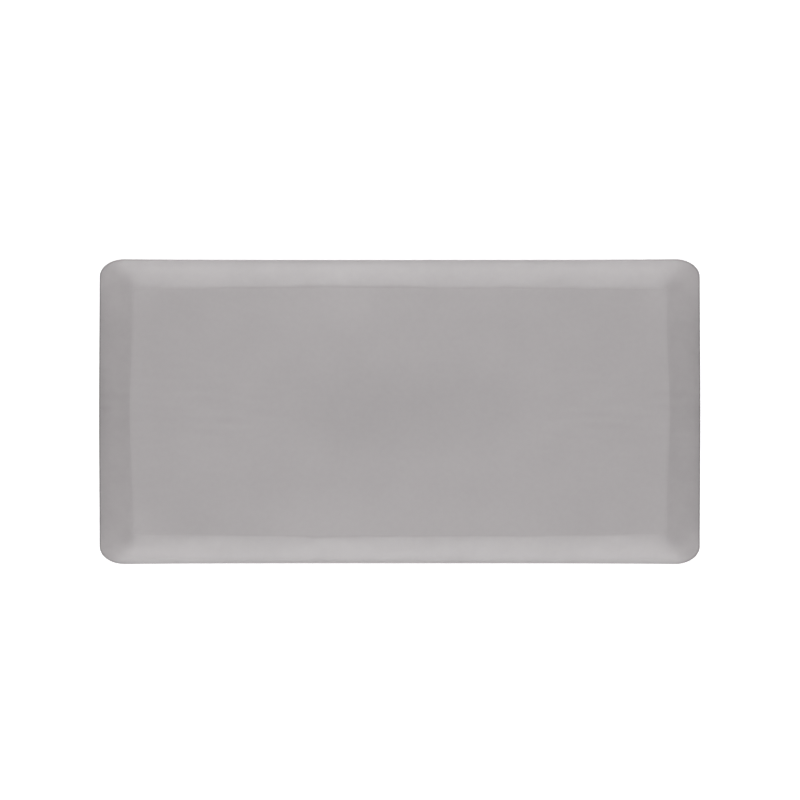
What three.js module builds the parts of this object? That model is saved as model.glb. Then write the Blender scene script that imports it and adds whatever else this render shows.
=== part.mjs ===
// A standing mat: a formed cover over two layers of foam, closed underneath by a non-slip base sheet.
// Millimetres, +Z up. The origin is the centre of the underside, with X along the length.
import * as THREE from "three";

// Overall size. LENGTH is across the middle of the short sides, WIDTH near the corners.
const LENGTH = 990;
const WIDTH = 502;
const THICKNESS = 19;
const CORNER_ALONG = 41; // the corners are quarter ellipses, this long along the long sides
const CORNER_ACROSS = 29; // and this long along the short sides
const END_BULGE = 0.9; // each short side bows out by this at its middle
const WAIST = 1.1; // each long side bows in by this at its middle

// The crease is the loop where the sloping border meets the flat standing face.
const END_BORDER = 57; // plan width of the border along the short sides, at the corners
const SIDE_BORDER = 50.5; // and along the long sides
const CREASE_RADIUS = 6;
const CREASE_END_BOW = 5; // the crease bows outwards by this at the middle of a short side
const CREASE_SIDE_BOW = 3.5; // and of a long side

// The edge in section.
const HEM_LIFT = 0.2; // the turned-under hem clears the floor by this
const NOSE_RADIUS = 2.6;
const FOOT_ANGLE = THREE.MathUtils.degToRad(30); // the border's slope at its foot
const CREASE_ANGLE = THREE.MathUtils.degToRad(11); // and where it meets the crease
const ROLL_SHARE = 0.08; // the slope eases off over about this share of the border

// Layers, from the top down.
const SKIN = 1.2; // cover
const GLUE_LINE = 0.3; // between the cover's sloping border and the foam
const HEM_WIDTH = 14; // the hem reaches this far in from the outline
const BEAD_GAP = 0.3;
const BEAD_WIDTH = 1.8;
const BEAD_HEIGHT = 1.0;
const BASE_CHAMFER = 0.3;

// Fineness of the faceted solids.
const CORNER_STEPS = 8;
const END_STEPS = 8;
const SIDE_STEPS = 10;
const NOSE_STEPS = 5;
const BORDER_STEPS = 7;
const BORDER_CROWDING = 1.6; // above 1, the border's steps lie closer together near its foot
const SPLIT_STEP = 3; // the two foams part level with this step of the border

const NOSE_Z = HEM_LIFT + NOSE_RADIUS;
const FOOT_INSET = NOSE_RADIUS * (1 - Math.sin(FOOT_ANGLE));
const FOOT_Z = NOSE_Z + NOSE_RADIUS * Math.cos(FOOT_ANGLE);
const FLOOR_OF_FOAM = HEM_LIFT + SKIN;
const UNDER_FACE = THICKNESS - SKIN;

// The border's height is a quick roll off the nose plus a long rise that flattens towards the crease.
const RISE = THICKNESS - FOOT_Z;
const MEAN_RUN = (END_BORDER + SIDE_BORDER) / 2 - FOOT_INSET;
const ROLL = ((Math.tan(FOOT_ANGLE) + Math.tan(CREASE_ANGLE)) * MEAN_RUN - 2 * RISE) / (1 / ROLL_SHARE - 2);
const REST = RISE - ROLL;
const EASE = 1 - (Math.tan(CREASE_ANGLE) * MEAN_RUN) / REST;

// ---- Loops: rounded rectangles whose sides bow in or out ----

const OUTLINE = {
  x: LENGTH / 2 - END_BULGE,
  y: WIDTH / 2,
  radiusX: CORNER_ALONG,
  radiusY: CORNER_ACROSS,
  endBow: END_BULGE,
  sideBow: -WAIST,
};
const CREASE = {
  x: LENGTH / 2 - END_BORDER,
  y: WIDTH / 2 - SIDE_BORDER,
  radiusX: CREASE_RADIUS,
  radiusY: CREASE_RADIUS,
  endBow: CREASE_END_BOW,
  sideBow: CREASE_SIDE_BOW,
};

const inset = (loop, by) => ({
  ...loop,
  x: loop.x - by,
  y: loop.y - by,
  radiusX: loop.radiusX - by,
  radiusY: loop.radiusY - by,
});

function mix(a, b, share) {
  const between = (key) => THREE.MathUtils.lerp(a[key], b[key], share);
  return {
    x: between("x"),
    y: between("y"),
    radiusX: between("radiusX"),
    radiusY: between("radiusY"),
    endBow: between("endBow"),
    sideBow: between("sideBow"),
  };
}

// One side of a loop, without its two ends: t runs from -1 to 1 along it, and it bows by a smooth bell.
function sidePoints(steps, pointAt) {
  const points = [];
  for (let i = 1; i < steps; i++) {
    const t = (2 * i) / steps - 1;
    points.push(pointAt(t, (1 - t * t) ** 2));
  }
  return points;
}

// The loop's points, anticlockwise from above.
function loopPoints(loop) {
  const straightX = loop.x - loop.radiusX;
  const straightY = loop.y - loop.radiusY;
  const point = (x, y) => new THREE.Vector2(x, y);
  const corner = (signX, signY, turn) =>
    new THREE.EllipseCurve(
      signX * straightX,
      signY * straightY,
      loop.radiusX,
      loop.radiusY,
      (turn * Math.PI) / 2,
      ((turn + 1) * Math.PI) / 2,
    ).getPoints(CORNER_STEPS);
  return [
    ...sidePoints(END_STEPS, (t, bell) => point(loop.x + loop.endBow * bell, t * straightY)),
    ...corner(1, 1, 0),
    ...sidePoints(SIDE_STEPS, (t, bell) => point(-t * straightX, loop.y + loop.sideBow * bell)),
    ...corner(-1, 1, 1),
    ...sidePoints(END_STEPS, (t, bell) => point(-loop.x - loop.endBow * bell, -t * straightY)),
    ...corner(-1, -1, 2),
    ...sidePoints(SIDE_STEPS, (t, bell) => point(t * straightX, -loop.y - loop.sideBow * bell)),
    ...corner(1, -1, 3),
  ];
}

// ---- Stations: a loop and its height, on a surface that lies a given depth inside the mat's outside ----

// Round the nose, from its underside (turn 0) to the border's foot (turn 1).
function noseStation(turn, depth) {
  const angle = turn * (Math.PI - FOOT_ANGLE); // from straight down
  const radius = NOSE_RADIUS - depth;
  return {
    loop: inset(OUTLINE, NOSE_RADIUS - radius * Math.sin(angle)),
    z: NOSE_Z - radius * Math.cos(angle),
  };
}

// Up the border, from its foot (share 0) to the crease (share 1).
function borderStation(share, depth) {
  const left = share < 1 ? Math.exp(-share / ROLL_SHARE) : 0; // how much of the roll is still to come
  const rise = ROLL * (1 - left) + REST * share * (1 + EASE - EASE * share);
  const steepness = (ROLL / ROLL_SHARE) * left + REST * (1 + EASE - 2 * EASE * share);
  const slope = Math.atan(steepness / MEAN_RUN);
  // At the crease the offset surfaces of the border and the face meet on the mitre.
  const tilt = share < 1 ? slope : slope / 2;
  const shift = share < 1 ? depth : depth / Math.cos(tilt);
  return {
    loop: inset(mix(inset(OUTLINE, FOOT_INSET), CREASE, share), shift * Math.sin(tilt)),
    z: FOOT_Z + rise - shift * Math.cos(tilt),
  };
}

const noseStations = (depth) =>
  Array.from({ length: NOSE_STEPS }, (_, i) => noseStation(i / NOSE_STEPS, depth));

const borderStations = (depth) =>
  Array.from({ length: BORDER_STEPS + 1 }, (_, i) =>
    borderStation((i / BORDER_STEPS) ** BORDER_CROWDING, depth),
  );

// A closed solid through the stations, from the middle of its first loop to the middle of its last.
function loft(stations) {
  const rings = stations.map(({ loop, z }) => loopPoints(loop).map((p) => [p.x, p.y, z]));
  const around = rings[0].length;
  const start = [0, 0, stations[0].z];
  const end = [0, 0, stations[stations.length - 1].z];
  const positions = [...rings.flat(), start, end].flat();
  const startIndex = rings.length * around;
  const lastRing = startIndex - around;
  const faces = [];
  for (let j = 0; j < around; j++) {
    const next = (j + 1) % around;
    faces.push(startIndex, next, j);
    for (let base = 0; base < lastRing; base += around) {
      faces.push(base + j, base + next, base + around + next);
      faces.push(base + j, base + around + next, base + around + j);
    }
    faces.push(startIndex + 1, lastRing + j, lastRing + next);
  }
  const geometry = new THREE.BufferGeometry();
  geometry.setAttribute("position", new THREE.Float32BufferAttribute(positions, 3));
  geometry.setIndex(faces);
  geometry.computeVertexNormals();
  return geometry;
}

// ---- Pieces ----

function material(red, green, blue, roughness) {
  const made = new THREE.MeshStandardMaterial({ roughness, metalness: 0 });
  made.color.setRGB(red, green, blue);
  return made;
}

function piece(name, geometry, finish) {
  const mesh = new THREE.Mesh(geometry, finish);
  mesh.name = name;
  return mesh;
}

// The cover wraps the face, the border and the nose, and turns under in a hem.
function topCover() {
  const hemEdge = inset(OUTLINE, HEM_WIDTH);
  const inside = [...noseStations(SKIN), ...borderStations(SKIN)].reverse();
  const outside = [...noseStations(0), ...borderStations(0)];
  const hem = [
    { loop: hemEdge, z: FLOOR_OF_FOAM },
    { loop: hemEdge, z: HEM_LIFT },
  ];
  return piece("top_cover", loft([...inside, ...hem, ...outside]), material(0.38, 0.362, 0.366, 0.55));
}

// The soft upper layer, which lies against the underside of the cover's face.
function comfortFoam() {
  const sides = borderStations(SKIN + GLUE_LINE).slice(SPLIT_STEP);
  const top = { loop: inset(sides.pop().loop, GLUE_LINE), z: UNDER_FACE };
  return piece("comfort_foam", loft([...sides, top]), material(0.62, 0.6, 0.54, 0.95));
}

// The firm lower layer, which fills the nose and rests on the hem and the base sheet.
function supportFoam() {
  const floor = { loop: inset(OUTLINE, NOSE_RADIUS + GLUE_LINE), z: FLOOR_OF_FOAM };
  const depth = SKIN + GLUE_LINE;
  const nose = noseStations(depth).slice(1);
  const border = borderStations(depth).slice(0, SPLIT_STEP + 1);
  return piece("support_foam", loft([floor, ...nose, ...border]), material(0.2, 0.2, 0.21, 0.95));
}

// The moulded sheet that the mat stands on, set inside the hem with its lower rim chamfered.
function baseSheet() {
  const edge = inset(OUTLINE, HEM_WIDTH + BEAD_WIDTH + 2 * BEAD_GAP);
  const stations = [
    { loop: inset(edge, BASE_CHAMFER), z: 0 },
    { loop: edge, z: BASE_CHAMFER },
    { loop: edge, z: FLOOR_OF_FOAM },
  ];
  return piece("base_sheet", loft(stations), material(0.07, 0.07, 0.075, 0.75));
}

// The weld bead joins the hem to the base sheet, against the underside of the foam.
function weldBead() {
  const outer = new THREE.Shape(loopPoints(inset(OUTLINE, HEM_WIDTH + BEAD_GAP)));
  outer.holes.push(new THREE.Path(loopPoints(inset(OUTLINE, HEM_WIDTH + BEAD_GAP + BEAD_WIDTH))));
  const geometry = new THREE.ExtrudeGeometry(outer, { depth: BEAD_HEIGHT, bevelEnabled: false });
  const bead = piece("weld_bead", geometry, material(0.1, 0.1, 0.105, 0.5));
  bead.position.z = FLOOR_OF_FOAM - BEAD_HEIGHT;
  return bead;
}

const mat = new THREE.Group();
mat.add(topCover(), comfortFoam(), supportFoam(), baseSheet(), weldBead());

export default mat;
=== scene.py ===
"""The looks of the standing mat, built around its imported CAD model.

Shapes are in millimetres until a mesh is made, with X along the mat, Y across it and Z up. The camera and
the lights are placed in metres.
"""

import math

import bpy
import numpy as np
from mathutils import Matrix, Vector
from mathutils.geometry import delaunay_2d_cdt


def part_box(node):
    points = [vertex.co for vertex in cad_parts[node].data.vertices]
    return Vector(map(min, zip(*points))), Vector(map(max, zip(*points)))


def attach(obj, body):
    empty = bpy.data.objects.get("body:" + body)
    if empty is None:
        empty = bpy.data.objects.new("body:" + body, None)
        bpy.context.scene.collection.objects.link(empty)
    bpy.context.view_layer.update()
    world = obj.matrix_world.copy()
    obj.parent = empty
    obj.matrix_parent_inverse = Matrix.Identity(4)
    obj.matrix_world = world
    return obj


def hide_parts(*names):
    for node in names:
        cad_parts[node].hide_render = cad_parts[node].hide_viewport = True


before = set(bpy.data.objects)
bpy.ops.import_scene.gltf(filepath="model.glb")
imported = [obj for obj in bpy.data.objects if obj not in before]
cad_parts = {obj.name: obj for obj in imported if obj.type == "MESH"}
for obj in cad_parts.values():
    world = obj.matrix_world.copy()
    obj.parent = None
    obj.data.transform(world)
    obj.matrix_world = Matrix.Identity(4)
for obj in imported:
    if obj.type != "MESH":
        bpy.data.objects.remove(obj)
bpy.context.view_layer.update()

MM = 0.001
scene = bpy.context.scene

# ---- Camera: straight above, on a long lens ----

CAMERA_HEIGHT = 3.6622
CAMERA_ASIDE = 0.0005
CAMERA_AHEAD = 0.0191  # further along +Y than the mat's centre, so the mat sits a little low in the picture
SENSOR = 36.0
LENS = 100.0


def add_camera():
    data = bpy.data.cameras.new("camera")
    data.sensor_width = SENSOR
    data.lens = LENS
    camera = bpy.data.objects.new("camera", data)
    camera.location = (CAMERA_ASIDE, CAMERA_AHEAD, CAMERA_HEIGHT)
    scene.collection.objects.link(camera)
    scene.camera = camera


add_camera()
scene.view_settings.view_transform = "Standard"

# ---- The section's sizes, as in the CAD model ----

cover_low, cover_high = (np.array(corner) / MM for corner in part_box("top_cover"))
base_low, base_high = (np.array(corner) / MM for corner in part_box("base_sheet"))

END_BULGE = 0.9  # each short side bows out by this at its middle
WAIST = 1.1  # and each long side bows in by this
HALF_LENGTH = cover_high[0] - END_BULGE
HALF_WIDTH = cover_high[1]
THICKNESS = cover_high[2]
CORNER_ALONG = 41.0  # the corners are quarter ellipses, this long along the long sides
CORNER_ACROSS = 29.0  # and this long along the short sides
END_BORDER = 57.0
SIDE_BORDER = 50.5
CREASE_X = HALF_LENGTH + END_BULGE - END_BORDER
CREASE_Y = HALF_WIDTH - SIDE_BORDER
CREASE_RADIUS = 6.0
HEM_LIFT = cover_low[2]
NOSE_RADIUS = 2.6
FOOT_ANGLE = math.radians(30)  # the border's slope at its foot
CREASE_ANGLE = math.radians(11)  # and where it meets the crease
ROLL_SHARE = 0.08  # the slope eases off over about this share of the border
SKIN = 1.2
GLUE_LINE = 0.3  # between the cover and the foam
FOAM_DEPTH = SKIN + GLUE_LINE
HEM_WIDTH = 14.0
BEAD_GAP = 0.3
BEAD_WIDTH = 1.8
BEAD_HEIGHT = 1.0
BASE_CHAMFER = 0.3
FLOOR_OF_FOAM = base_high[2]
UNDER_FACE = THICKNESS - SKIN
BORDER_STEPS = 7
BORDER_CROWDING = 1.6
SPLIT_STEP = 3
SPLIT_SHARE = (SPLIT_STEP / BORDER_STEPS) ** BORDER_CROWDING  # the foams part at this share of the border
CLEARANCE = 0.05  # between pieces that rest on each other

NOSE_Z = HEM_LIFT + NOSE_RADIUS
FOOT_INSET = NOSE_RADIUS * (1 - math.sin(FOOT_ANGLE))
FOOT_Z = NOSE_Z + NOSE_RADIUS * math.cos(FOOT_ANGLE)
RISE = THICKNESS - FOOT_Z
MEAN_RUN = (END_BORDER + SIDE_BORDER) / 2 - FOOT_INSET
ROLL = ((math.tan(FOOT_ANGLE) + math.tan(CREASE_ANGLE)) * MEAN_RUN - 2 * RISE) / (1 / ROLL_SHARE - 2)
REST = RISE - ROLL
EASE = 1 - math.tan(CREASE_ANGLE) * MEAN_RUN / REST

# ---- Curves that the shapes and tones are made of ----

DRIFT_WAVES = 14


def bell(offset, spread, power=2):
    """1 at no offset, falling smoothly towards 0 as the offset passes the spread."""
    return np.exp(-(np.abs(offset / spread) ** power))


def ramp(value, start, end, most=1):
    """0 at start, 1 at end and straight in between, held at 0 before start and at most beyond end. It
    runs the other way where end is below start."""
    return np.clip((value - start) / (end - start), 0, most)


def drift(x, y, wavelength, seed):
    """A smooth wandering field, with values mostly between -1 and 1."""
    random = np.random.default_rng(seed)
    total = np.zeros_like(x)
    for _ in range(DRIFT_WAVES):
        angle = random.uniform(0, 2 * math.pi)
        phase = random.uniform(0, 2 * math.pi)
        stretch = random.uniform(0.7, 1.5)
        along = x * math.cos(angle) + y * math.sin(angle)
        total += np.sin(along * 2 * math.pi / (wavelength * stretch) + phase)
    return total / math.sqrt(DRIFT_WAVES)


# ---- Loops: closed rings of points, anticlockwise from above, all with the same number of points ----

SIDE_STEPS = 200
END_STEPS = 100
HALF_CORNER_STEPS = 8
COLUMNS = SIDE_STEPS + 2 * HALF_CORNER_STEPS
ROWS = END_STEPS + 2 * HALF_CORNER_STEPS

# Where the foam pushes each side's crease out: the place along the side, how widely, and how far.
CREASE_SWELLINGS = (
    ((16, 92, 5.2),),
    ((100, 190, 4.2), (132, 30, 0.7), (-220, 90, 1.9)),
    ((6, 96, 5.6),),
    ((-95, 160, 3.9), (-138, 30, 1.1), (160, 130, 2.4)),
)
# The crease's small waves: how far, the length of one over 2 pi, and its shift from side to side.
CREASE_WAVES = ((0.35, 23.0, 2.1), (0.2, 9.0, 1.3))


def outline_bow(side, along, reach):
    """How far the outline bows out from straight, at a distance along a side from its middle."""
    t = along / reach
    return END_BULGE * (1 - t**2) ** 2 if side % 2 == 0 else -WAIST * (1 - t**4)


def crease_bow(side, along, reach):
    """The crease wanders as the foam pushes the cover out, a little differently on each side."""
    swelling = sum(far * bell(along - place, spread) for place, spread, far in CREASE_SWELLINGS[side])
    waves = sum(far * np.sin(along / length + shift * side) for far, length, shift in CREASE_WAVES)
    return (waves + swelling) * (1 - (along / reach) ** 6)


def loop(half_x, half_y, radius_x, radius_y, bow):
    """The ring's points, from the corner at +X, -Y. Each side runs from the middle of one corner to the
    middle of the next, and bow(side, along, reach) says how far it stands out from straight."""
    short = (END_STEPS, half_x, half_y, radius_x, radius_y)
    long = (SIDE_STEPS, half_y, half_x, radius_y, radius_x)
    turn = np.radians(np.linspace(-45, 0, HALF_CORNER_STEPS, endpoint=False))
    points = []
    for side, (steps, out, half, radius_out, radius_along) in enumerate((short, long, short, long)):
        reach = half - radius_along
        arc_along = radius_along * np.sin(turn)
        arc_out = out - radius_out * (1 - np.cos(turn))
        straight = np.linspace(-reach, reach, steps + 1)
        along = np.concatenate([arc_along - reach, straight, (reach - arc_along)[:0:-1]])
        outward = np.concatenate([arc_out, out + bow(side, straight, reach), arc_out[:0:-1]])
        facing = side * math.pi / 2
        x = outward * math.cos(facing) - along * math.sin(facing)
        y = outward * math.sin(facing) + along * math.cos(facing)
        points.append(np.column_stack([x, y]))
    return np.concatenate(points)


def outline(inset=0.0):
    return loop(
        HALF_LENGTH - inset,
        HALF_WIDTH - inset,
        CORNER_ALONG - inset,
        CORNER_ACROSS - inset,
        outline_bow,
    )


def crease(inset=0.0):
    radius = CREASE_RADIUS - inset
    return loop(CREASE_X - inset, CREASE_Y - inset, radius, radius, crease_bow)


FOOT = outline(FOOT_INSET)
CREASE = crease()
BORDER_WIDTH = np.linalg.norm(FOOT - CREASE, axis=1)
INWARD = (CREASE - FOOT) / BORDER_WIDTH[:, None]
AROUND = len(CREASE)

# ---- The outside's shape ----

FALL_TO_SIDES = 0.55  # the cushioned face falls off by about this towards the long sides
FALL_TO_ENDS = 0.4  # and by about this towards the ends
DISH = 0.35  # and it is trodden in by this in the middle
FACE_WAVES = ((0.16, 150, 3), (0.05, 52, 4))  # its unevenness: height, wavelength and seed
CREASE_ROUNDING = 0.17  # how much lower the rounded crease is than a sharp one
GROOVE_DEPTH = 0.06
GROOVE_UNEVENNESS = 0.8
GROOVE_PLACE = 0.6  # how far inside the crease the groove's bottom lies
BORDER_RIPPLE = 0.12


def face_swell(x, y):
    """How far the cushioned face stands above or below flat."""
    near_side = ramp(np.abs(y), start=110, end=205, most=1.2)
    near_end = ramp(np.abs(x), start=350, end=440, most=1.2)
    crown = -FALL_TO_SIDES * near_side**2 - FALL_TO_ENDS * near_end**2
    dish = -DISH * bell(x, spread=260) * bell(y, spread=75)
    waves = sum(high * drift(x, y, wavelength, seed) for high, wavelength, seed in FACE_WAVES)
    return crown + dish + waves


def border_height(share):
    """The border's height, share of the way from its foot to the crease: steep off the nose, then easing."""
    return FOOT_Z + ROLL * (1 - np.exp(-share / ROLL_SHARE)) + REST * share * (1 + EASE - EASE * share)


def border_slope(share):
    steep = ROLL / ROLL_SHARE * math.exp(-share / ROLL_SHARE)
    return math.atan((steep + REST * (1 + EASE - 2 * EASE * share)) / MEAN_RUN)


def height(x, y, across, share):
    """The cover's height. across is the distance inside the crease, negative on the border, and share
    runs from 0 at the border's foot to 1 at the crease and inside it."""
    rounding = -CREASE_ROUNDING * bell(across, spread=2.0, power=1.5)
    depth = GROOVE_DEPTH * (1 + GROOVE_UNEVENNESS * drift(x, y, wavelength=60, seed=8))
    groove = -depth * bell(across - GROOVE_PLACE, spread=1.0)
    ripple = BORDER_RIPPLE * drift(x, y, wavelength=46, seed=5) * share * (1 - share) * 4
    return border_height(share) + rounding + groove + ripple + face_swell(x, y) * share**2


# ---- Rings: loops with their heights ----


def level_ring(flat, z):
    return np.column_stack([flat, np.full(len(flat), z)])


def nose_ring(turn, depth):
    """A ring that lies depth inside the nose, from its underside, turn 0, to the border's foot, turn 1."""
    angle = turn * (math.pi - FOOT_ANGLE)
    radius = NOSE_RADIUS - depth
    return level_ring(outline(NOSE_RADIUS - radius * math.sin(angle)), NOSE_Z - radius * math.cos(angle))


def border_ring(share):
    """A ring on the outside of the border, share of the way from its foot to the crease."""
    flat = FOOT + (CREASE - FOOT) * share
    across = -(1 - share) * BORDER_WIDTH
    return np.column_stack([flat, height(flat[:, 0], flat[:, 1], across, share)])


def crease_ring(across):
    """A ring at a given distance inside the crease, or outside it where negative."""
    if across < 0:
        share = 1 + across / BORDER_WIDTH
        flat = CREASE + (FOOT - CREASE) * (-across / BORDER_WIDTH)[:, None]
    else:
        share = 1
        flat = crease(across)
    return np.column_stack([flat, height(flat[:, 0], flat[:, 1], across, share)])


def inner_border_ring(share, depth):
    """A ring on a surface that lies depth inside the border. At the crease it lies on the mitre."""
    slope = border_slope(share)
    tilt = slope if share < 1 else slope / 2
    shift = depth if share < 1 else depth / math.cos(tilt)
    flat = FOOT + (CREASE - FOOT) * share + INWARD * shift * math.sin(tilt)
    z = border_height(share) - shift * math.cos(tilt) + face_swell(flat[:, 0], flat[:, 1]) * share**2
    return np.column_stack([flat, z])


def drawn_in(ring, inward, up):
    """A copy of a ring moved inward across the border, and up."""
    return ring + level_ring(INWARD * inward, up)


# ---- Meshes ----

SHARP_ANGLE = math.radians(50)  # an edge that turns by more than this is shaded sharp


class Solid:
    """Points and faces of one closed mesh, built ring by ring."""

    def __init__(self):
        self.points = []
        self.faces = []
        self.count = 0

    def add_points(self, points):
        """Adds points, and returns the index of the first."""
        start = self.count
        self.points.append(points)
        self.count += len(points)
        return start

    def add_faces(self, faces):
        self.faces.extend(np.asarray(faces).tolist())

    def add_rings(self, rings, closed=False):
        """Joins rings in order, and the last to the first if closed. Rings that run outward along the
        underside, up the edge and inward along the top have their faces pointing out. Returns the index
        of each ring's first point."""
        starts = [self.add_points(ring) for ring in rings]
        j = np.arange(AROUND)
        following = (j + 1) % AROUND
        for low, high in zip(starts, starts[1:] + (starts[:1] if closed else [])):
            self.add_faces(np.stack([low + j, low + following, high + following, high + j], axis=1))
        return starts

    def add_lid(self, ring_start):
        """Closes a level ring with one flat face that points up."""
        self.add_faces([ring_start + np.arange(AROUND)])

    def add_field(self, ring_start, lift, facing_up):
        """Fills a ring with a grid, on a smooth patch between the ring's four sides. lift(x, y, z) turns
        an inner point's place on the patch into its height."""
        ring = self.all_points()[ring_start : ring_start + AROUND]
        index = np.full((COLUMNS + 1, ROWS + 1), -1)
        k = ring_start + np.arange(AROUND)
        index[COLUMNS, :ROWS] = k[:ROWS]
        index[COLUMNS:0:-1, ROWS] = k[ROWS : ROWS + COLUMNS]
        index[0, ROWS:0:-1] = k[ROWS + COLUMNS : 2 * ROWS + COLUMNS]
        index[:COLUMNS, 0] = k[2 * ROWS + COLUMNS :]
        south, north, west, east = (
            ring[side - ring_start] for side in (index[:, 0], index[:, ROWS], index[0], index[COLUMNS])
        )
        s = ((south[:, 0] - south[0, 0]) / (south[-1, 0] - south[0, 0]))[:, None, None]
        t = ((west[:, 1] - west[0, 1]) / (west[-1, 1] - west[0, 1]))[None, :, None]
        patch = (
            (1 - t) * south[:, None]
            + t * north[:, None]
            + (1 - s) * west[None]
            + s * east[None]
            - (1 - s) * (1 - t) * south[0]
            - s * (1 - t) * south[-1]
            - (1 - s) * t * north[0]
            - s * t * north[-1]
        )
        inner = patch[1:-1, 1:-1].reshape(-1, 3)
        inner[:, 2] = lift(inner[:, 0], inner[:, 1], inner[:, 2])
        inner_index = self.add_points(inner) + np.arange(len(inner))
        index[1:-1, 1:-1] = inner_index.reshape(COLUMNS - 1, ROWS - 1)
        corners = [index[:-1, :-1], index[1:, :-1], index[1:, 1:], index[:-1, 1:]]
        quads = np.stack(corners, axis=-1).reshape(-1, 4)
        self.add_faces(quads if facing_up else quads[:, ::-1])

    def all_points(self):
        return np.concatenate(self.points)

    def make(self, name):
        return make_object(name, self.all_points(), self.faces)


def make_object(name, points, faces):
    mesh = bpy.data.meshes.new(name)
    mesh.from_pydata((points * MM).tolist(), [], faces)
    mesh.shade_smooth()
    mesh.set_sharp_from_angle(angle=SHARP_ANGLE)
    piece = bpy.data.objects.new(name, mesh)
    scene.collection.objects.link(piece)
    return piece


def store(piece, name, values):
    """Keeps one number a point, for the material to read."""
    attribute = piece.data.attributes.new(name, "FLOAT", "POINT")
    attribute.data.foreach_set("value", np.asarray(values, np.float32))


# ---- Materials ----

COVER_COLOUR = (0.352, 0.334, 0.338)
VALLEY_TONE = 0.977  # the share of the cover's colour that is left between its pebbles, darker there as painted shade
PEBBLE_PAINTED_SHADING = 0.018  # and what the pebbles add to it on their tops
# Painted shade along the crease's groove
CREASE_PAINTED_SHADE = 0.025
# Painted shade on the rim of the nose, at the ends and the corners
RIM_PAINTED_SHADE = 0.3
SOFT_FOAM_COLOUR = (0.62, 0.6, 0.54)
FIRM_FOAM_COLOUR = (0.2, 0.2, 0.21)
PVC_COLOUR = (0.024, 0.024, 0.026)
SCUFFED_PVC_COLOUR = (0.062, 0.061, 0.06, 1.0)
WELDED_PVC_COLOUR = (0.034, 0.034, 0.036)


class Finish:
    """A material's node tree, with the few nodes that these materials are made of."""

    def __init__(self, name):
        self.material = bpy.data.materials.new(name)
        self.material.use_nodes = True
        self.tree = self.material.node_tree
        self.shader = self.tree.nodes["Principled BSDF"]
        self.place = self.tree.nodes.new("ShaderNodeTexCoord").outputs["Object"]

    def add(self, kind, settings=None, **inputs):
        """A new node. An input goes by its name, with _ for each space, or by _ and its number."""
        made = self.tree.nodes.new(kind)
        for key, value in (settings or {}).items():
            setattr(made, key, value)
        for key, value in inputs.items():
            self.feed(made.inputs[int(key[1:]) if key[0] == "_" else key.replace("_", " ")], value)
        return made

    def feed(self, socket, value):
        if isinstance(value, bpy.types.NodeSocket):
            self.tree.links.new(value, socket)
        else:
            socket.default_value = value

    def noise_node(self, size_mm, detail, roughness=0.5):
        look = {"Scale": 1 / (size_mm * MM), "Detail": detail, "Roughness": roughness}
        return self.add("ShaderNodeTexNoise", Vector=self.place, **look)

    def noise(self, size_mm, detail=3.0, roughness=0.5):
        """Soft noise from 0 to 1 whose blotches are about that size."""
        return self.noise_node(size_mm, detail, roughness).outputs["Fac"]

    def cells(self, place, size_mm, feature="F1"):
        """The distance from the middles of random cells, or from their edges."""
        made = self.add("ShaderNodeTexVoronoi", {"feature": feature}, Vector=place, Scale=1 / (size_mm * MM))
        return made.outputs["Distance"]

    def warped(self, size_mm, amount_mm):
        """The place, pushed about by noise."""
        noise = self.noise_node(size_mm, detail=2.0).outputs["Color"]
        grey = (0.5, 0.5, 0.5)
        centred = self.add("ShaderNodeVectorMath", {"operation": "SUBTRACT"}, _0=noise, _1=grey).outputs[0]
        pushed = self.shade(centred, 2 * amount_mm * MM)
        return self.add("ShaderNodeVectorMath", _0=self.place, _1=pushed).outputs[0]

    def maths(self, operation, first, second):
        return self.add("ShaderNodeMath", {"operation": operation}, _0=first, _1=second).outputs[0]

    def plus(self, first, *others):
        for other in others:
            first = self.maths("ADD", first, other)
        return first

    def times(self, first, second):
        return self.maths("MULTIPLY", first, second)

    def spread(self, value, from_low, from_high, to_low=0.0, to_high=1.0):
        """Maps a range of value to another, clamped, with soft ends."""
        made = self.add(
            "ShaderNodeMapRange",
            {"interpolation_type": "SMOOTHSTEP"},
            Value=value,
            From_Min=from_low,
            From_Max=from_high,
            To_Min=to_low,
            To_Max=to_high,
        )
        return made.outputs["Result"]

    def vary(self, noise, low, high):
        """Maps soft noise, most of which is between 0.3 and 0.7, to a range of its own."""
        return self.spread(noise, 0.3, 0.7, low, high)

    def attribute(self, name):
        return self.add("ShaderNodeAttribute", {"attribute_name": name}).outputs["Fac"]

    def shade(self, colour, factor):
        """A colour or vector times a factor."""
        return self.add("ShaderNodeVectorMath", {"operation": "SCALE"}, _0=colour, Scale=factor).outputs[0]

    def blend(self, factor, first, second):
        """A colour between two others."""
        return self.add("ShaderNodeMix", {"data_type": "RGBA"}, Factor=factor, _6=first, _7=second).outputs[2]

    def relief(self, height, depth_mm, **under):
        """Bump of a real depth, for heights from 0 to 1, over another bump if it is given as Normal."""
        return self.add("ShaderNodeBump", Height=height, Distance=depth_mm * MM, **under).outputs["Normal"]

    def done(self, colour, roughness, normal):
        self.feed(self.shader.inputs["Base Color"], colour)
        self.feed(self.shader.inputs["Roughness"], roughness)
        self.feed(self.shader.inputs["Normal"], normal)
        return self.material


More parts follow.
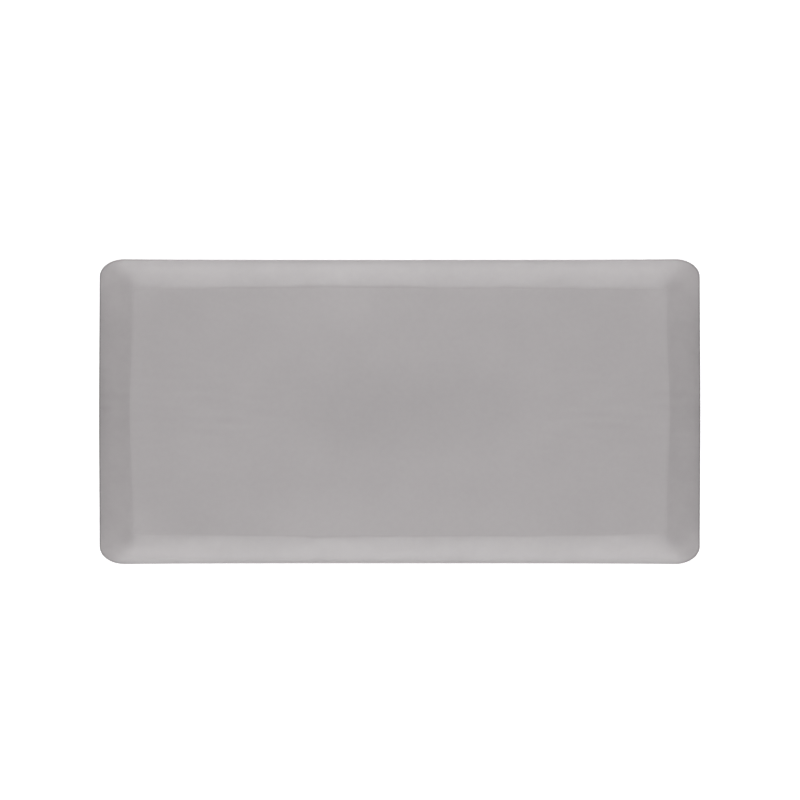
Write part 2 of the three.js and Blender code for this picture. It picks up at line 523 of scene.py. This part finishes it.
def cover_finish():
    """Fine-grained polyurethane skin with a satin top coat: soft pebbles about a millimetre across."""
    f = Finish("polyurethane_skin")
    warped = f.warped(size_mm=3.0, amount_mm=0.5)
    pebbles = f.spread(f.cells(warped, size_mm=1.3, feature="DISTANCE_TO_EDGE"), 0.0, 0.32)
    pores = f.noise(size_mm=0.45, detail=2.0)
    blotches = f.noise(size_mm=70.0, detail=4.0)
    cloud = f.noise(size_mm=9.0)
    crease_line = f.attribute("crease")
    tone = f.plus(
        f.vary(blotches, low=-0.012, high=0.012),
        f.vary(cloud, low=-0.01, high=0.01),
        # Painted shade: the valleys between the pebbles are left darker than the pebbles' tops
        f.times(pebbles, PEBBLE_PAINTED_SHADING),
        # The tone attribute: mostly painted light and shade, with streaks and blotches
        f.attribute("tone"),
        # Painted shade along the crease's groove
        f.times(crease_line, -CREASE_PAINTED_SHADE),
        # The rim's painted shade
        f.times(f.attribute("rim"), -RIM_PAINTED_SHADE),
        VALLEY_TONE,
    )
    roughness = f.plus(f.vary(cloud, low=0.31, high=0.38), f.times(crease_line, 0.08))
    wobble = f.relief(f.noise(size_mm=26.0, detail=2.0), depth_mm=0.12)
    grain = f.relief(pebbles, depth_mm=0.045, Normal=wobble)
    fine = f.relief(pores, depth_mm=0.012, Normal=grain)
    return f.done(f.shade(COVER_COLOUR, tone), roughness, fine)


def foam_finish(name, colour, cell_mm, pit_mm):
    """Open-cell foam, cut or skinned, with cells that show as pits."""
    f = Finish(name)
    warped = f.warped(size_mm=cell_mm * 3, amount_mm=cell_mm * 0.6)
    cells = f.spread(f.cells(warped, cell_mm), 0.1, 0.6)
    pits = f.spread(f.cells(warped, pit_mm), 0.05, 0.25)
    blotches = f.noise(size_mm=45.0)
    # The hollows between cells and the pits are darker than the rest: painted shade over their bumps
    tone = f.plus(f.vary(blotches, low=0.93, high=1.04), f.times(cells, -0.12))
    tone = f.times(tone, f.spread(pits, 0.0, 1.0, 0.72, 1.0))
    grain = f.relief(cells, depth_mm=-0.25)
    pitted = f.relief(pits, depth_mm=0.5, Normal=grain)
    return f.done(f.shade(colour, tone), f.vary(blotches, low=0.88, high=0.97), pitted)


def comfort_foam_finish():
    return foam_finish("soft_foam", SOFT_FOAM_COLOUR, cell_mm=0.9, pit_mm=3.5)


def support_foam_finish():
    return foam_finish("firm_foam", FIRM_FOAM_COLOUR, cell_mm=0.6, pit_mm=2.6)


def base_finish():
    """Moulded black PVC with a fine spark texture, worn a little greyer on what touches the floor."""
    f = Finish("non_slip_pvc")
    spark = f.noise(size_mm=0.5, roughness=0.7)
    blotches = f.noise(size_mm=60.0, detail=4.0)
    smears = f.noise(size_mm=7.0, detail=4.0, roughness=0.65)
    scuff = f.times(f.attribute("touching"), f.spread(smears, 0.42, 0.68))
    dark = f.shade(PVC_COLOUR, f.vary(blotches, low=0.85, high=1.2))
    roughness = f.plus(f.vary(smears, low=0.6, high=0.74), f.times(scuff, 0.1))
    return f.done(f.blend(scuff, dark, SCUFFED_PVC_COLOUR), roughness, f.relief(spark, depth_mm=0.05))


def bead_finish():
    """Welded PVC: glossier than the sheet, drawn out in fine ripples."""
    f = Finish("welded_pvc")
    ripples = f.noise(size_mm=2.2, detail=2.0)
    colour = f.shade(WELDED_PVC_COLOUR, f.vary(f.noise(size_mm=30.0), low=0.85, high=1.25))
    return f.done(colour, f.vary(ripples, low=0.34, high=0.52), f.relief(ripples, depth_mm=0.12))


# ---- The cover's tone: small differences of lightness, as shares of its colour, most of them painted light and shade ----

# Painted shade over the middle of the face and towards its ends
MIDDLE_PAINTED_SHADE = -0.055
ENDS_PAINTED_SHADE = -0.01
# Painted light in two places beside the long sides
LEFT_PAINTED_LIGHT = 0.05
RIGHT_PAINTED_LIGHT = 0.022
PAINTED_LIGHT_LOSS = 0.4  # the share of the last two that is lost on the borders
STREAKS = 0.012
# Painted light round the corners and beside them, and painted shade on the mitres
CORNER_PAINTED_LIGHT = 0.05
POINT_PAINTED_LIGHT = 0.055
RIM_PAINTED_LIGHT = 0.035
BORDER_PAINTED_LIGHT = 0.055
MITRE_PAINTED_SHADE = -0.055
# Painted shade just outside the creases, and painted light just inside them at the ends
END_CREASE_PAINTED_SHADE = -0.045
SIDE_CREASE_PAINTED_SHADE = -0.035
END_CREASE_PAINTED_LIGHT = 0.02
# Painted shade near the rim, and painted light on the very edge of the long sides
END_RIM_PAINTED_SHADE = -0.1
END_MIDDLE_PAINTED_SHADE = -0.05  # as well, in the middle of the ends
SIDE_BAND_PAINTED_SHADE = -0.05
SIDE_EDGE_PAINTED_LIGHT = 0.04
MOTTLING = ((0.005, 18), (0.006, 36), (0.007, 70), (0.007, 150))  # the borders' blotches: strength and size
BORDER_FADE = 8.0  # what is only on the borders fades in over this distance from the crease
CREASE_END_BOW = 5  # about how far the creases bow out at the ends
CREASE_SIDE_BOW = 2  # and on average along the sides


def painted_shade_middle_and_ends(x, y):
    """Painted shade: darker in the middle, and very slightly so towards the ends."""
    centre_x, centre_y, half_length, half_width = -3, 6, 205, 75
    from_middle = np.hypot((x - centre_x) / half_length, (y - centre_y) / half_width)
    middle = MIDDLE_PAINTED_SHADE * bell(from_middle, spread=1, power=4)
    ends = ENDS_PAINTED_SHADE * ramp(np.abs(x), start=330, end=430) * bell(y, spread=80)
    return middle + ends


def painted_light_by_sides(x, y):
    """Painted light: lighter in two places beside the long sides, less so out on the borders."""
    far_y = np.abs(y)
    left = LEFT_PAINTED_LIGHT * bell(x + 106, spread=115) * ramp(far_y, start=120, end=170)
    right = RIGHT_PAINTED_LIGHT * bell(x - 185, spread=80) * ramp(far_y, start=145, end=175)
    return (left + right) * (1 - PAINTED_LIGHT_LOSS * ramp(far_y - CREASE_Y, start=0, end=BORDER_FADE))


def streaked(x, y):
    """Faint streaks along the mat, towards its ends."""
    length_to_width = 7
    streaks = drift(x / length_to_width, y, wavelength=16, seed=31)
    return STREAKS * streaks * bell(y, spread=60) * ramp(np.abs(x), start=190, end=250)


def mottled(x, y):
    """Soft blotches on the borders."""
    outside_crease = np.maximum(np.abs(x) - CREASE_X, np.abs(y) - CREASE_Y)
    blotches = sum(strength * drift(x, y, size, seed=40 + size) for strength, size in MOTTLING)
    return blotches * ramp(outside_crease, start=0, end=BORDER_FADE)


def painted_light_at_corners(x, y):
    """Painted light round the corners, and on the long borders beside them, and painted shade on the mitres."""
    far_x, far_y = np.abs(x), np.abs(y)
    in_corner = ramp(far_y, start=140, end=205) * ramp(far_x, start=360, end=420)
    corner = CORNER_PAINTED_LIGHT * in_corner**2 * (3 - 2 * in_corner)
    point = POINT_PAINTED_LIGHT * bell(np.hypot(HALF_LENGTH - 11 - far_x, HALF_WIDTH - 36 - far_y), spread=20)
    mitre = MITRE_PAINTED_SHADE * bell(np.hypot(far_x - 443, far_y - 208), spread=15)
    rim = RIM_PAINTED_LIGHT * bell(far_x - 380, spread=65) * bell(far_y - 232, spread=11)
    on_border = ramp(far_y - CREASE_Y, start=0, end=BORDER_FADE)
    border = BORDER_PAINTED_LIGHT * bell(far_x - 335, spread=52) * on_border
    return corner + point + mitre + rim + border


def light_and_shade_by_creases(x, y):
    """Darker just outside the creases, as painted shade, and at the ends a little lighter just inside them,
    as painted light.
    """
    far_x, far_y = np.abs(x), np.abs(y)
    inside_end = CREASE_X + CREASE_END_BOW * bell(y, spread=95) - far_x
    inside_side = CREASE_Y + CREASE_SIDE_BOW - far_y
    least, more = 0.35, 0.65 * bell(y, spread=110)
    shade_by_end = END_CREASE_PAINTED_SHADE * bell(inside_end, spread=22) * (inside_end < 0) * (least + more)
    shade_by_side = SIDE_CREASE_PAINTED_SHADE * bell(inside_side, spread=11) * (inside_side < 0) * (far_x < 440)
    away_from_corners = ramp(far_y, start=205, end=175)
    light_by_end = END_CREASE_PAINTED_LIGHT * bell(inside_end, spread=25) * (inside_end > 0) * away_from_corners
    return shade_by_end + shade_by_side + light_by_end


def shade_and_light_by_rim(x, y):
    """Painted shade near the rim: at the ends most of all in the middle, and along the long sides in a band,
    with painted light on the very edge of the long sides."""
    from_end = np.clip(HALF_LENGTH - np.abs(x), 0, None)
    from_side = HALF_WIDTH - np.abs(y)
    ends = (END_RIM_PAINTED_SHADE + END_MIDDLE_PAINTED_SHADE * bell(y, spread=70)) * bell(from_end, spread=13, power=1)
    sides = SIDE_EDGE_PAINTED_LIGHT * bell(from_side, spread=4.5) + SIDE_BAND_PAINTED_SHADE * bell(from_side - 9.5, spread=5)
    return ends * ramp(np.abs(y), start=232, end=187) + sides * ramp(np.abs(x), start=455, end=425)


def cover_tone_and_painted_light(x, y):
    kinds = (painted_shade_middle_and_ends, painted_light_by_sides, streaked, mottled, painted_light_at_corners, light_and_shade_by_creases, shade_and_light_by_rim)
    return sum(kind(x, y) for kind in kinds)


# ---- Pieces ----


def finish_piece(piece, material, node):
    """Gives a piece its material, sets it to ride on the root, and hides the CAD node that it stands for."""
    piece.data.materials.append(material)
    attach(piece, "root")
    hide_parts(node)


def swelling_from(level):
    """A lift for Solid.add_field that follows the face's swell, from a level."""
    return lambda x, y, z: level + face_swell(x, y)


def keep_level(x, y, z):
    return z


FACE_MARGIN = 3.6  # the rings by the crease end this far inside it, and the face's grid begins
NOSE_TURNS = np.linspace(0, 0.97, 15)
ROLL_STEPS = np.array([0, 0.15, 0.3, 0.5, 0.75, 1, 1.3, 1.7, 2.1, 2.6])  # in units of ROLL_SHARE
BORDER_SHARES = np.concatenate([ROLL_SHARE * ROLL_STEPS, np.linspace(0.26, 0.92, 13)])
CREASE_ACROSS = np.array([-3.4, -2.4, -1.7, -1.1, -0.6, -0.2, 0.2, 0.6, 1.0, 1.4, 2.0, 2.7, FACE_MARGIN])
HEM_MIDDLE = 9.0  # extra rings across the hem, this far from the outline
HEM_OUTER = 5.0  # and this far
HEM_LIP = ((0.25, 0), (0.05, 0.1), (0, 0.3))  # rings round its raw edge: distance from it, and from a face
RIM_SHARE = 0.022  # the rim's painted shade fades out over this share of the border
CREASE_LINE_PLACE = 0.4  # how far inside the crease its line of painted shade and extra roughness lies
CREASE_LINE_WIDTH = 1.1


def rim_shade_strength():
    """How strongly the rim is given painted shade round the cover: at the ends and the corners, and not along
    the long sides.
    """
    toward_end = np.abs(INWARD[:, 0])
    return ramp(toward_end, start=0.3, end=0.65) + 0.25 * bell(toward_end - 0.85, spread=0.13)


def make_cover():
    """The skin, inside and out. Its rings run down the inside to the nose, along the hem and round its raw
    edge, back round the outside of the nose, and up the border to the face."""
    solid = Solid()
    inside = [inner_border_ring(share, SKIN) for share in np.linspace(1, 0, 8)]
    inside += [nose_ring(turn, SKIN) for turn in (0.8, 0.6, 0.4, 0.2, 0.0)]
    hem = [level_ring(outline(HEM_MIDDLE), FLOOR_OF_FOAM)]
    hem += [level_ring(outline(HEM_WIDTH - back), FLOOR_OF_FOAM - down) for back, down in HEM_LIP]
    hem += [level_ring(outline(HEM_WIDTH - back), HEM_LIFT + up) for back, up in reversed(HEM_LIP)]
    hem += [level_ring(outline(inset), HEM_LIFT) for inset in (HEM_MIDDLE, HEM_OUTER)]
    nose = [nose_ring(turn, 0) for turn in NOSE_TURNS]
    border = [border_ring(share) for share in BORDER_SHARES]
    by_crease = [crease_ring(across) for across in CREASE_ACROSS]
    starts = solid.add_rings(inside + hem + nose + border + by_crease)
    solid.add_field(starts[-1], swelling_from(THICKNESS), facing_up=True)
    solid.add_field(starts[0], swelling_from(UNDER_FACE), facing_up=False)
    piece = solid.make("top_cover_skin")

    points = solid.all_points()
    on_crease = np.zeros(len(points))
    painted_rim_shade = np.zeros(len(points))
    strength = rim_shade_strength()
    nose_at = len(inside + hem)
    border_at = nose_at + len(nose)
    crease_at = border_at + len(border)
    for start, turn in zip(starts[nose_at:], NOSE_TURNS):
        painted_rim_shade[start : start + AROUND] = math.sin(math.pi / 2 * turn) * strength
    for start, share in zip(starts[border_at:], BORDER_SHARES):
        painted_rim_shade[start : start + AROUND] = bell(share, RIM_SHARE) * strength
    for start, across in zip(starts[crease_at:], CREASE_ACROSS):
        ring = points[start : start + AROUND]
        uneven = 0.75 + 0.35 * drift(ring[:, 0], ring[:, 1], wavelength=70, seed=12)
        # A line of painted shade along the crease's groove, which is also made rougher
        on_crease[start : start + AROUND] = bell(across - CREASE_LINE_PLACE, CREASE_LINE_WIDTH) * uneven
    store(piece, "crease", on_crease)
    # The rim's painted shade, at the ends and the corners
    store(piece, "rim", painted_rim_shade)
    # The tone attribute carries the painted light and shade above, with the streaks and blotches
    store(piece, "tone", cover_tone_and_painted_light(points[:, 0], points[:, 1]))
    finish_piece(piece, cover_finish(), "top_cover")


# The foams' edges where they part: how far in each ring lies, and how far from the cut.
CUT_EDGE = ((4, CLEARANCE), (0.4, CLEARANCE), (0, 0.3))
# The soft foam's rounded edge under the crease: how far in each ring lies, and its share of the rise.
TOP_EDGE = ((0.3, 0.6), (0.9, 0.92), (2, 1))


def make_comfort_foam():
    """The soft upper layer: a slab cut level underneath, whose top fills the cover's face."""
    solid = Solid()
    sides = [inner_border_ring(share, FOAM_DEPTH) for share in np.linspace(SPLIT_SHARE, 0.99, 9)]
    brow = inner_border_ring(1, FOAM_DEPTH)
    rise = UNDER_FACE - CLEARANCE - (THICKNESS - FOAM_DEPTH)
    rings = [drawn_in(sides[0], inward, up) for inward, up in CUT_EDGE] + sides[1:]
    rings += [drawn_in(brow, inward, share * rise) for inward, share in TOP_EDGE]
    starts = solid.add_rings(rings)
    solid.add_field(starts[-1], swelling_from(UNDER_FACE - CLEARANCE), facing_up=True)
    solid.add_field(starts[0], keep_level, facing_up=False)
    finish_piece(solid.make("comfort_foam_pad"), comfort_foam_finish(), "comfort_foam")


def make_support_foam():
    """The firm lower layer: it fills the nose, and rests on the hem and the base sheet."""
    solid = Solid()
    floor = FLOOR_OF_FOAM + CLEARANCE
    rings = [level_ring(outline(inset), floor) for inset in (HEM_MIDDLE, NOSE_RADIUS + GLUE_LINE)]
    rings += [nose_ring(turn, FOAM_DEPTH) for turn in np.linspace(0.3, 0.95, 6)]
    rings += [inner_border_ring(share, FOAM_DEPTH) for share in np.linspace(0, SPLIT_SHARE, 8)]
    split = rings.pop()
    rings += [drawn_in(split, inward, -down) for inward, down in reversed(CUT_EDGE)]
    starts = solid.add_rings(rings)
    solid.add_field(starts[-1], keep_level, facing_up=True)
    solid.add_field(starts[0], keep_level, facing_up=False)
    finish_piece(solid.make("support_foam_pad"), support_foam_finish(), "support_foam")


BEAD_STEPS = 9
BEAD_FULLNESS = 0.7  # below 1 the bead's section is fuller than a half ellipse
BEAD_UNEVENNESS = 0.05


def make_weld_bead():
    """A drawn bead: flat against the foam, rounded below, and a little uneven along its run."""
    solid = Solid()
    middle = HEM_WIDTH + BEAD_GAP + BEAD_WIDTH / 2
    rings = []
    for angle in np.linspace(0, math.pi, BEAD_STEPS):
        flat = outline(middle + BEAD_WIDTH / 2 * math.cos(angle))
        uneven = 1 - BEAD_UNEVENNESS * (1 + drift(flat[:, 0], flat[:, 1], wavelength=16, seed=21))
        drop = BEAD_HEIGHT * math.sin(angle) ** BEAD_FULLNESS * np.clip(uneven, 0, 1)
        rings.append(np.column_stack([flat, FLOOR_OF_FOAM - drop]))
    solid.add_rings(rings, closed=True)
    finish_piece(solid.make("welded_seam"), bead_finish(), "weld_bead")


TREAD_PITCH = 12.0  # between the middles of neighbouring pockets
TREAD_MARGIN = 10.0  # the plain band around the tread
RIB_WIDTH = 2.2
POCKET_DEPTH = 0.8
POCKET_DRAFT = 0.5  # how far a pocket narrows towards its floor
CELL_RADIUS = TREAD_PITCH / math.sqrt(3)
ROW_PITCH = TREAD_PITCH * math.sqrt(0.75)


def tread_cells(edge):
    """The middles of a honeycomb's cells, over a loop and beyond, and which of them are well inside it."""
    half_x, half_y = np.abs(edge).max(axis=0)
    rows = math.ceil(half_y / ROW_PITCH) + 1
    columns = math.ceil(half_x / TREAD_PITCH) + 1
    i, j = np.meshgrid(np.arange(-columns, columns + 1), np.arange(-rows, rows + 1), indexing="ij")
    cells = np.column_stack([((i + (j % 2) / 2) * TREAD_PITCH).ravel(), (j * ROW_PITCH).ravel()])
    corner = np.array([CORNER_ALONG, CORNER_ACROSS])
    straight = np.array([half_x, half_y]) - (TREAD_MARGIN + CELL_RADIUS) - corner
    beyond = np.clip(np.abs(cells) - straight, 0, None)
    return cells, np.linalg.norm(beyond / corner, axis=1) < 1


def add_pockets(solid, middles):
    """Sinks a hexagonal pocket round each middle. Returns the points on the ribs' middle lines and those
    on the pockets' lips, six to a cell."""
    turns = np.radians(30 + 60 * np.arange(6))
    spokes = np.column_stack([np.cos(turns), np.sin(turns)])
    corners = np.round(middles[:, None] + CELL_RADIUS * spokes, 4).reshape(-1, 2)
    shared, which = np.unique(corners, axis=0, return_inverse=True)
    ribs = solid.add_points(level_ring(shared, 0)) + which.reshape(-1, 6)

    def cell_ring(narrowing, z):
        radius = CELL_RADIUS - narrowing / math.sqrt(3)
        flat = (middles[:, None] + radius * spokes).reshape(-1, 2)
        return solid.add_points(level_ring(flat, z)) + np.arange(len(flat)).reshape(-1, 6)

    lips = cell_ring(RIB_WIDTH, 0)
    floors = cell_ring(RIB_WIDTH + 2 * POCKET_DRAFT, POCKET_DEPTH)
    for outer, inner in ((ribs, lips), (lips, floors)):
        quads = np.stack([outer, inner, np.roll(inner, -1, axis=1), np.roll(outer, -1, axis=1)], axis=-1)
        solid.add_faces(quads.reshape(-1, 4))
    solid.add_faces(floors[:, ::-1])
    return ribs, lips


def nearest(points, places):
    """The index of the place nearest to each point."""
    gaps = np.linalg.norm(points[:, None] - places[None], axis=2)
    return gaps.argmin(axis=1)


INSIDE_EDGES = 1  # Blender's number for a triangulation that stays inside the edges given
SAME_POINT = 1e-6  # points closer than this are one


def fill_band(solid, ring_start, ribs, cells, within):
    """Fills the plain band between the sheet's edge and the tread. The tread's own edge is made of the
    ribs that have a pocket on one side only."""
    sides = np.stack([ribs, np.roll(ribs, -1, axis=1)], axis=-1).reshape(-1, 2)
    once, counts = np.unique(np.sort(sides, axis=1), axis=0, return_counts=True)
    ring = ring_start + np.arange(AROUND)
    edges = np.concatenate([once[counts == 1], np.column_stack([ring, np.roll(ring, -1)])])
    used, local = np.unique(edges, return_inverse=True)
    flat = solid.all_points()[used, :2]
    corners = [Vector(point) for point in flat]
    found = delaunay_2d_cdt(corners, local.reshape(-1, 2).tolist(), [], INSIDE_EDGES, SAME_POINT)
    original = np.array([names[0] for names in found[3]])
    triangles = original[np.array(found[2])]
    on_band = ~within[nearest(flat[triangles].mean(axis=1), cells)]
    solid.add_faces(used[triangles[on_band]][:, ::-1])


def make_base_sheet():
    """Moulded PVC. Its underside is a honeycomb of shallow pockets between ribs, inside a plain band."""
    solid = Solid()
    edge = HEM_WIDTH + BEAD_WIDTH + 2 * BEAD_GAP
    rim = outline(edge + BASE_CHAMFER)
    rings = [level_ring(rim, 0)]
    rings += [level_ring(outline(edge), z) for z in (BASE_CHAMFER, FLOOR_OF_FOAM)]
    starts = solid.add_rings(rings)
    solid.add_lid(starts[-1])
    cells, within = tread_cells(rim)
    ribs, lips = add_pockets(solid, cells[within])
    fill_band(solid, starts[0], ribs, cells, within)

    piece = solid.make("grip_sheet")
    touching = np.zeros(solid.count)
    touching[ribs] = 1
    touching[lips] = 1
    touching[starts[0] : starts[0] + AROUND] = 1
    store(piece, "touching", touching)
    finish_piece(piece, base_finish(), "base_sheet")


make_cover()
make_comfort_foam()
make_support_foam()
make_weld_bead()
make_base_sheet()

# ---- Floor and lights ----

FLOOR_REACH = 40e3
FLOOR_Z = -0.2
FLOOR_COLOUR = (0.93, 0.93, 0.93, 1)
WHITE = (1, 1, 1, 1)
PANEL_SIZE = (3.0, 1.8)
PANEL_POWER = 119
TOP_PANEL_SIZE = (2.6, 2.6)
TOP_PANEL_POWER = 29


def add_floor():
    """A pale floor that glows a little near the mat, and fully from 2.4 m away."""
    signs = ((-1, -1), (1, -1), (1, 1), (-1, 1))
    corners = [(x * FLOOR_REACH, y * FLOOR_REACH, FLOOR_Z) for x, y in signs]
    floor = make_object("floor", np.array(corners), [(0, 1, 2, 3)])
    f = Finish("pale_floor")
    f.shader.inputs["Base Color"].default_value = FLOOR_COLOUR
    f.shader.inputs["Roughness"].default_value = 0.9
    f.shader.inputs["Specular IOR Level"].default_value = 0.0
    f.shader.inputs["Emission Color"].default_value = WHITE
    distance = f.add("ShaderNodeVectorMath", {"operation": "LENGTH"}, _0=f.place).outputs["Value"]
    f.feed(f.shader.inputs["Emission Strength"], f.spread(distance, 0.9, 2.4, 0.38, 1.0))
    floor.data.materials.append(f.material)


def add_panel(name, place, size, power):
    """A rectangular light that faces the mat's middle."""
    data = bpy.data.lights.new(name, "AREA")
    data.shape = "RECTANGLE"
    data.size, data.size_y = size
    data.energy = power
    panel = bpy.data.objects.new(name, data)
    panel.location = place
    panel.rotation_euler = (-Vector(place)).to_track_quat("-Z", "Y").to_euler()
    scene.collection.objects.link(panel)


def add_world():
    """White all round near the horizon, and nearly dark overhead."""
    world = bpy.data.worlds.new("studio")
    scene.world = world
    world.use_nodes = True
    tree = world.node_tree
    direction = tree.nodes.new("ShaderNodeTexCoord").outputs["Generated"]
    split = tree.nodes.new("ShaderNodeSeparateXYZ")
    tree.links.new(direction, split.inputs[0])
    fade = tree.nodes.new("ShaderNodeMapRange")
    fade.interpolation_type = "SMOOTHSTEP"
    fade.inputs["From Min"].default_value = 0.14
    fade.inputs["From Max"].default_value = 0.42
    fade.inputs["To Min"].default_value = 1.0
    fade.inputs["To Max"].default_value = 0.05
    tree.links.new(split.outputs["Z"], fade.inputs["Value"])
    tree.links.new(fade.outputs["Result"], tree.nodes["Background"].inputs["Strength"])
    tree.nodes["Background"].inputs["Color"].default_value = WHITE


add_floor()
add_panel("front_panel", (0, -3.0, 3.3), PANEL_SIZE, PANEL_POWER)
add_panel("back_panel", (0, 3.0, 3.3), PANEL_SIZE, PANEL_POWER)
add_panel("top_panel", (0, 0, 4.3), TOP_PANEL_SIZE, TOP_PANEL_POWER)
add_world()
